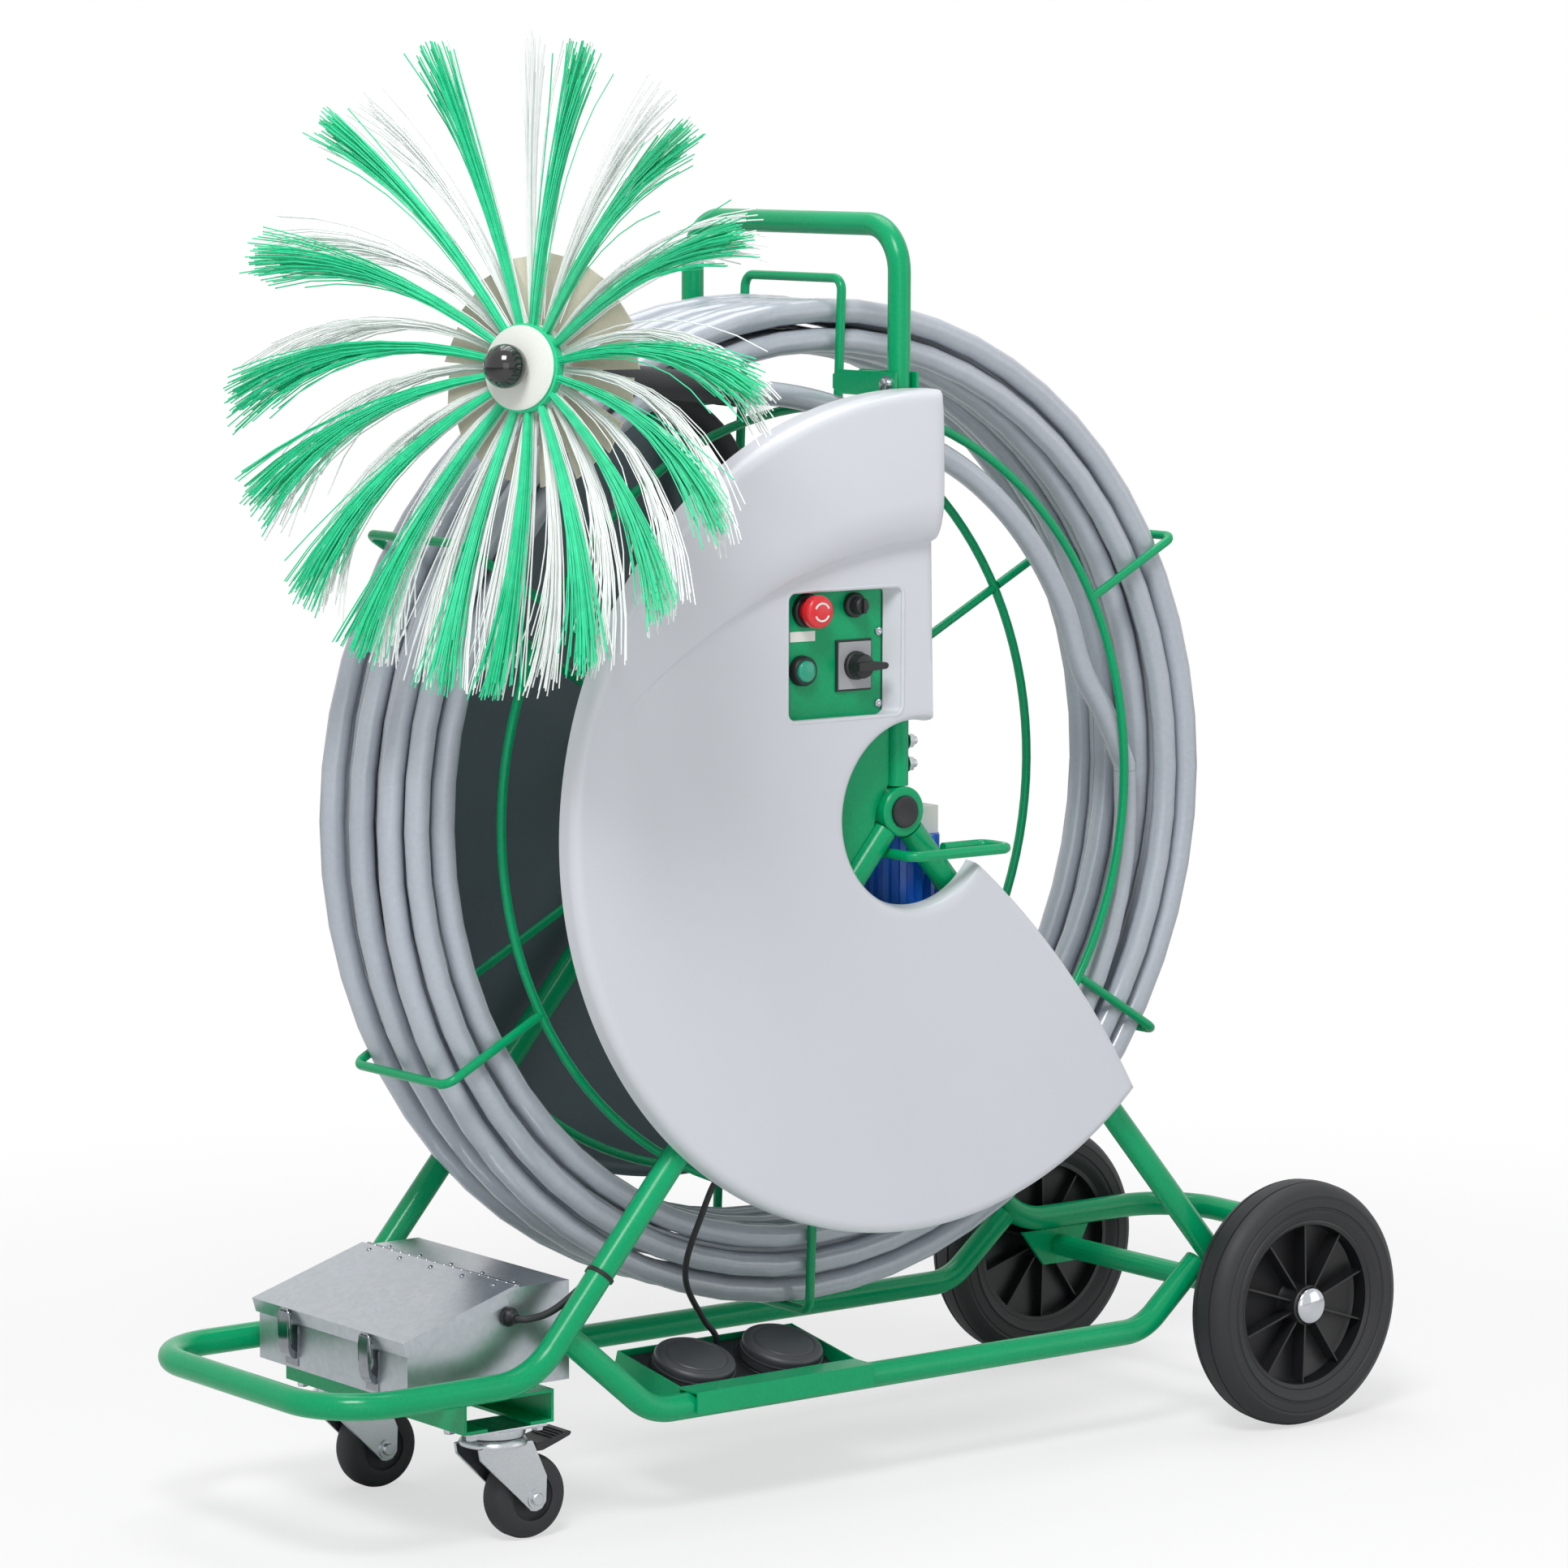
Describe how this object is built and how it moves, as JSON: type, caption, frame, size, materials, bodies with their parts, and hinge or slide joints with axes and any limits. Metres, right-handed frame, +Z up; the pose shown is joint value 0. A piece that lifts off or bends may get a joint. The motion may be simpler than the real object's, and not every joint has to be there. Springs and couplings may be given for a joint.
{
  "type": "duct cleaning machine",
  "caption": "Wheeled tube frame carrying a turning hose reel with a flexible drive hose, round covers, a control panel, foot pedals and a rotary brush.",
  "frame": {"origin": "centre of the bounding box on the floor", "axes": "+X to the rear wheels, +Y to the far side, +Z up"},
  "size_m": [1.3043, 0.705, 1.3803],
  "materials": {
    "green_enamel": "gloss enamel",
    "grey_moulding": "satin moulding",
    "dark_moulding": "matt moulding",
    "grey_hose": "smooth sheath",
    "black_rubber": "matt rubber",
    "black_plastic": "fine texture",
    "zinc_plate": "bright zinc",
    "chrome": "polished",
    "white_nylon": "moulded nylon",
    "cream_vane": "cut sheet",
    "green_bristle": "filament",
    "white_bristle": "filament",
    "blue_enamel": "gloss enamel",
    "red_plastic": "moulded",
    "green_button": "moulded",
    "grey_plate": "moulded"
  },
  "bodies": {
    "frame": {"front_leg_loop": "green_enamel", "rear_leg_loop": "green_enamel", "near_rail": "green_enamel", "far_rail": "green_enamel", "handle_mast": "green_enamel", "near_hub_boss": "green_enamel", "far_hub_boss": "green_enamel", "axle_carrier": "green_enamel", "caster_channel": "green_enamel", "pedal_tray": "green_enamel", "control_gusset": "green_enamel", "control_panel": "green_enamel", "hose_bracket": "green_enamel", "cable_hook": "green_enamel", "near_cover": "grey_moulding", "far_cover": "dark_moulding", "hose_free_end": "grey_hose", "hose_end_sleeve": "black_rubber", "box_cable": "black_rubber", "pedal_tube": "black_rubber", "near_hub_plug": "black_plastic", "pedal_base": "black_plastic", "reel_spindle": "zinc_plate", "near_caster_plate": "zinc_plate", "far_caster_plate": "zinc_plate", "tool_box": "zinc_plate", "switch_plate": "grey_plate"},
    "reel": {"reel_spider": "green_enamel", "near_ring": "green_enamel", "hose_coil": "grey_hose", "coupling_hose": "black_rubber", "motor": "blue_enamel", "motor_terminal_box": "white_nylon", "motor_bracket": "green_enamel"},
    "brush": {"brush_core": "white_nylon", "brush_nose": "black_plastic", "brush_green_tufts": "green_bristle", "brush_white_tufts": "white_bristle", "brush_vanes": "cream_vane"},
    "near_wheel": {"near_tyre": "black_rubber", "near_rim": "black_plastic", "near_wheel_cap": "chrome"},
    "far_wheel": {"far_tyre": "black_rubber", "far_rim": "black_plastic", "far_wheel_cap": "chrome"},
    "near_swivel": {"near_caster_fork": "zinc_plate"},
    "far_swivel": {"far_caster_fork": "zinc_plate"},
    "near_roller": {"near_caster_wheel": "black_rubber"},
    "far_roller": {"far_caster_wheel": "black_rubber"},
    "near_brake": {"near_brake_pedal": "black_plastic"},
    "far_brake": {"far_brake_pedal": "black_plastic"},
    "lid": {"box_lid": "zinc_plate"},
    "near_catch": {"near_latch": "chrome"},
    "far_catch": {"far_latch": "chrome"},
    "stop": {"stop_button": "red_plastic"},
    "start": {"start_button": "green_button"},
    "selector": {"selector_knob": "black_plastic"},
    "switch": {"switch_knob": "black_plastic"},
    "front_foot": {"front_pedal": "black_plastic"},
    "rear_foot": {"rear_pedal": "black_plastic"}
  },
  "joints": [
    {"name": "reel_spin", "type": "hinge", "parent": "frame", "child": "reel", "pos_m": [0, 0.11515, 0.652], "axis": [0, 1, 0], "continuous": true, "deforming": ["hose_free_end"]},
    {"name": "brush_spin", "type": "hinge", "parent": "frame", "child": "brush", "pos_m": [-0.43, -0.06285, 1.082], "axis": [-0.942, -0.32, 0.101], "continuous": true},
    {"name": "near_wheel_spin", "type": "hinge", "parent": "frame", "child": "near_wheel", "pos_m": [0.481, -0.08985, 0.124], "axis": [0, 1, 0], "continuous": true},
    {"name": "near_caster_swivel", "type": "hinge", "parent": "frame", "child": "near_swivel", "pos_m": [-0.44, -0.00885, 0.1019], "axis": [0, 0, 1], "continuous": true},
    {"name": "near_caster_roll", "type": "hinge", "parent": "near_swivel", "child": "near_roller", "pos_m": [-0.406, -0.00885, 0.04], "axis": [0, 1, 0], "continuous": true},
    {"name": "near_brake_press", "type": "hinge", "parent": "near_swivel", "child": "near_brake", "pos_m": [-0.4, -0.00885, 0.0879], "axis": [0, 1, 0], "range_deg": [0, 10]},
    {"name": "near_catch_open", "type": "hinge", "parent": "frame", "child": "near_catch", "pos_m": [-0.5353, 0.04715, 0.1525], "axis": [0, -1, 0], "range_deg": [0, 80]},
    {"name": "far_wheel_spin", "type": "hinge", "parent": "frame", "child": "far_wheel", "pos_m": [0.481, 0.32015, 0.124], "axis": [0, 1, 0], "continuous": true},
    {"name": "far_caster_swivel", "type": "hinge", "parent": "frame", "child": "far_swivel", "pos_m": [-0.44, 0.23915, 0.1019], "axis": [0, 0, 1], "continuous": true},
    {"name": "far_caster_roll", "type": "hinge", "parent": "far_swivel", "child": "far_roller", "pos_m": [-0.406, 0.23915, 0.04], "axis": [0, 1, 0], "continuous": true},
    {"name": "far_brake_press", "type": "hinge", "parent": "far_swivel", "child": "far_brake", "pos_m": [-0.4, 0.23915, 0.0879], "axis": [0, 1, 0], "range_deg": [0, 10]},
    {"name": "far_catch_open", "type": "hinge", "parent": "frame", "child": "far_catch", "pos_m": [-0.5353, 0.18315, 0.1525], "axis": [0, -1, 0], "range_deg": [0, 80]},
    {"name": "lid_open", "type": "hinge", "parent": "frame", "child": "lid", "pos_m": [-0.413, 0.11515, 0.238], "axis": [0, 1, 0], "range_deg": [0, 100]},
    {"name": "selector_turn", "type": "hinge", "parent": "frame", "child": "selector", "pos_m": [-0.07, -0.06835, 0.853], "axis": [0, 1, 0], "range_deg": [-45, 45]},
    {"name": "switch_turn", "type": "hinge", "parent": "frame", "child": "switch", "pos_m": [-0.07, -0.06835, 0.7965], "axis": [0, 1, 0], "range_deg": [-45, 45]},
    {"name": "stop_press", "type": "slide", "parent": "frame", "child": "stop", "axis": [0, 1, 0], "range_m": [0, 0.004]},
    {"name": "start_press", "type": "slide", "parent": "frame", "child": "start", "axis": [0, 1, 0], "range_m": [0, 0.003], "stiffness_N_per_m": 400},
    {"name": "front_pedal_press", "type": "slide", "parent": "frame", "child": "front_foot", "axis": [0, 0.309, -0.9511], "range_m": [0, 0.006], "stiffness_N_per_m": 1500},
    {"name": "rear_pedal_press", "type": "slide", "parent": "frame", "child": "rear_foot", "axis": [0, 0.309, -0.9511], "range_m": [0, 0.006], "stiffness_N_per_m": 1500}
  ]
}
